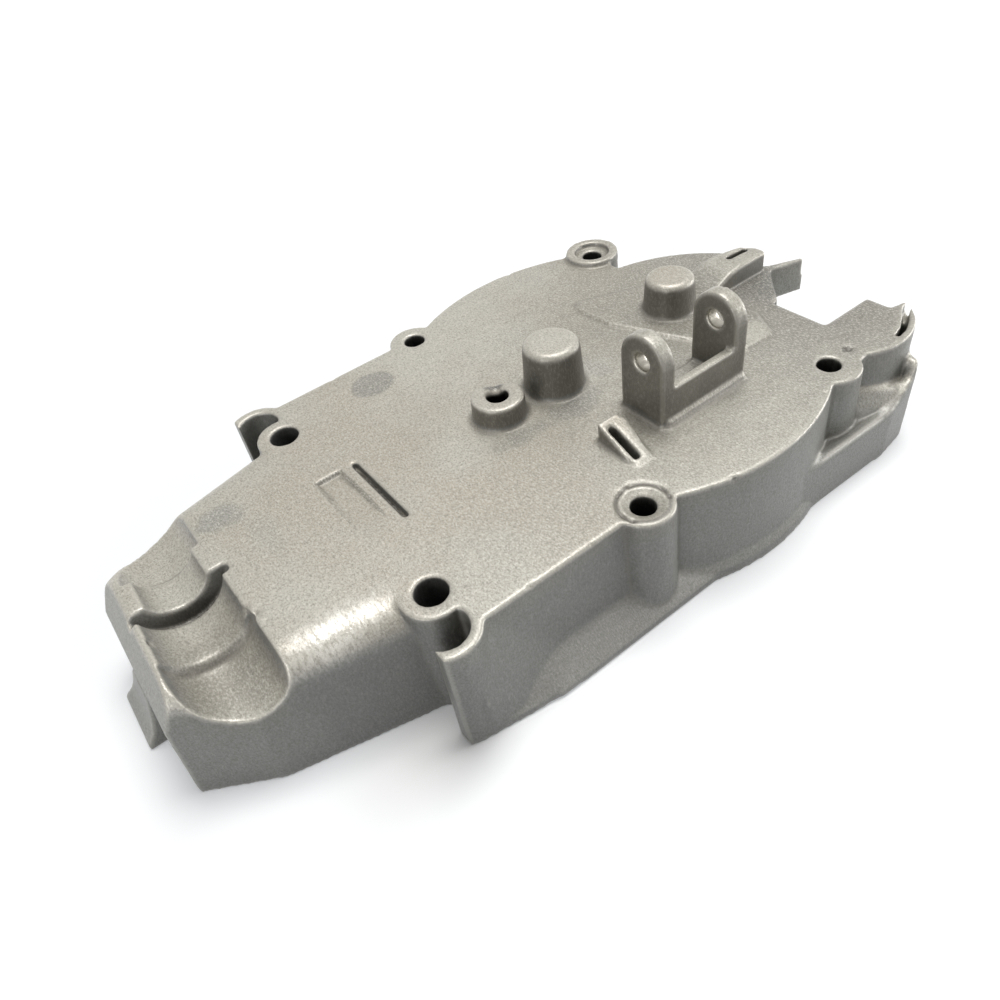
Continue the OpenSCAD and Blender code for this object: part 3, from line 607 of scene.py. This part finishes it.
# %% [markdown]
# ## Grain that catches the light
# The skin of a tumbled casting is full of tiny pits and rubbed high spots. They are far
# too small to model, so a bump layer tilts the light by the same two grains that tint
# the grey. Its height is a few hundredths of a millimetre, and nothing in the reamed
# bores, which are smooth.

# %% Grain as bump
GRAIN_HEIGHT = 0.08 * MM
height = cast.math("ADD", cast.math("MULTIPLY", fine, 0.6), cast.math("MULTIPLY", rub, 0.8))
height = cast.math("MULTIPLY", height, cast.math("SUBTRACT", 1.0, bore))
bump = cast.add("ShaderNodeBump")
bump.inputs["Strength"].default_value = 0.7
bump.inputs["Distance"].default_value = GRAIN_HEIGHT
cast.link(height, bump.inputs["Height"])
cast.link(bump.outputs[0], cast.shader.inputs["Normal"])
cover.data.materials.append(cast.material)

# %% [markdown]
# ## The skin takes the casting's place
# The rebuilt skin has the same form and place as the CAD node, so it stands for it. It rides on
# the part's only body.

# %% Hand the skin to the frame
cover.name = "cast_cover"
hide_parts(NODE)
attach(cover, "root")

# %% [markdown]
# ## Floor and light
# The cover lies on a white sweep under broad soft light from above. The floor is white for the
# camera and for reflections, and only pale for the light that bounces from it, so the walls stay
# darker than the deck, as they are in the photograph, and a faint shadow is left. The floor's own
# glow is weakest under the cover, so that the shadow shows. It is left out in the pocket between
# the motor end and the near ear, which paints a deeper shadow there, where the photograph's
# shadow is deepest.

# %% Floor
SIZE = 1.6
floor_mesh = bpy.data.meshes.new("sweep")
floor_mesh.from_pydata([(-SIZE, -SIZE, -2e-5), (SIZE, -SIZE, -2e-5), (SIZE, SIZE, -2e-5),
                        (-SIZE, SIZE, -2e-5)], [], [(0, 1, 2, 3)])
floor = bpy.data.objects.new("sweep", floor_mesh)
bpy.context.collection.objects.link(floor)
sweep = Finish("white_sweep")
sweep.shader.inputs["Base Color"].default_value = (0.73, 0.73, 0.72, 1)
sweep.shader.inputs["Roughness"].default_value = 0.9
sweep.shader.inputs["Specular IOR Level"].default_value = 0.1
ray = sweep.add("ShaderNodeLightPath")
seen = sweep.math("MAXIMUM", ray.outputs["Is Camera Ray"],
                  sweep.math("MAXIMUM", ray.outputs["Is Glossy Ray"],
                             ray.outputs["Is Transmission Ray"]))
glow = sweep.add("ShaderNodeEmission")
distance = sweep.add("ShaderNodeVectorMath", operation="LENGTH")
sweep.link(sweep.place, distance.inputs[0])
far_off = sweep.ramp(distance.outputs["Value"], 0.08, 0.26)
sweep.link(sweep.mix(far_off, (0.22, 0.225, 0.24, 1), (1, 1, 1, 1)), glow.inputs["Color"])
sweep.ragged_noise = 0.5  # no ragged edge
# Painted shadow: the floor's glow is taken away in this pocket.
pocket = sweep.spot((-46.0, -35.5, 0.0), (19.0, 12.0, 5.0), 0.0, 0.9)
sweep.link(sweep.math("SUBTRACT", 1.0, pocket), glow.inputs["Strength"])
white = sweep.add("ShaderNodeAddShader")
sweep.link(sweep.shader.outputs[0], white.inputs[0])
sweep.link(glow.outputs[0], white.inputs[1])
pale = sweep.add("ShaderNodeBsdfDiffuse")
pale.inputs["Color"].default_value = (0.26, 0.28, 0.31, 1)
choice = sweep.add("ShaderNodeMixShader")
sweep.link(seen, choice.inputs[0])
sweep.link(pale.outputs[0], choice.inputs[1])
sweep.link(white.outputs[0], choice.inputs[2])
output = sweep.tree.nodes["Material Output"]
sweep.link(choice.outputs[0], output.inputs["Surface"])
floor_mesh.materials.append(sweep.material)

# %% World
world = bpy.data.worlds.new("studio")
bpy.context.scene.world = world
world.use_nodes = True
nodes, joins = world.node_tree.nodes, world.node_tree.links
nodes.clear()
ray = nodes.new("ShaderNodeLightPath")
room = nodes.new("ShaderNodeBackground")
room.inputs["Color"].default_value = (0.94, 0.98, 1.0, 1)
room.inputs["Strength"].default_value = 0.16
white = nodes.new("ShaderNodeBackground")
white.inputs["Strength"].default_value = 1.0
white.inputs["Color"].default_value = (1, 1, 1, 1)
pick = nodes.new("ShaderNodeMixShader")
end = nodes.new("ShaderNodeOutputWorld")
mirrored = nodes.new("ShaderNodeMath")
mirrored.operation = "MAXIMUM"
joins.new(ray.outputs["Is Glossy Ray"], mirrored.inputs[0])
joins.new(ray.outputs["Is Transmission Ray"], mirrored.inputs[1])
seen_white = nodes.new("ShaderNodeMath")
seen_white.operation = "MAXIMUM"
joins.new(ray.outputs["Is Camera Ray"], seen_white.inputs[0])
joins.new(mirrored.outputs[0], seen_white.inputs[1])
joins.new(seen_white.outputs[0], pick.inputs[0])
joins.new(room.outputs[0], pick.inputs[1])
joins.new(white.outputs[0], pick.inputs[2])
joins.new(pick.outputs[0], end.inputs["Surface"])

# %% Lamps


def soft_lamp(name, place, target, size, power):
    """A square lamp at place, facing target, both in metres."""
    data = bpy.data.lights.new(name, "AREA")
    data.size = size
    data.energy = power
    lamp = bpy.data.objects.new(name, data)
    bpy.context.collection.objects.link(lamp)
    back = np.array(place, float) - np.array(target, float)
    back /= np.linalg.norm(back)
    right = np.cross((0.0, 1.0, 0.02), back)
    right /= np.linalg.norm(right)
    up = np.cross(back, right)
    lamp.matrix_world = standing_at(right, up, back, place)
    return lamp


soft_lamp("overhead", (0.2, 0.08, 0.95), (0, 0, 0), 0.5, 8.8)
soft_lamp("left_window", (-0.65, -0.25, 0.22), (0, 0, 0), 0.35, 1.5)
soft_lamp("right_window", (0.7, -0.3, 0.14), (0, 0, 0), 0.35, 3.6)

# %% [markdown]
# ## The end
# The view transform is set to Standard, and the scene is brought up to date.

# %% Finish
bpy.context.scene.view_settings.view_transform = "Standard"
bpy.context.view_layer.update()
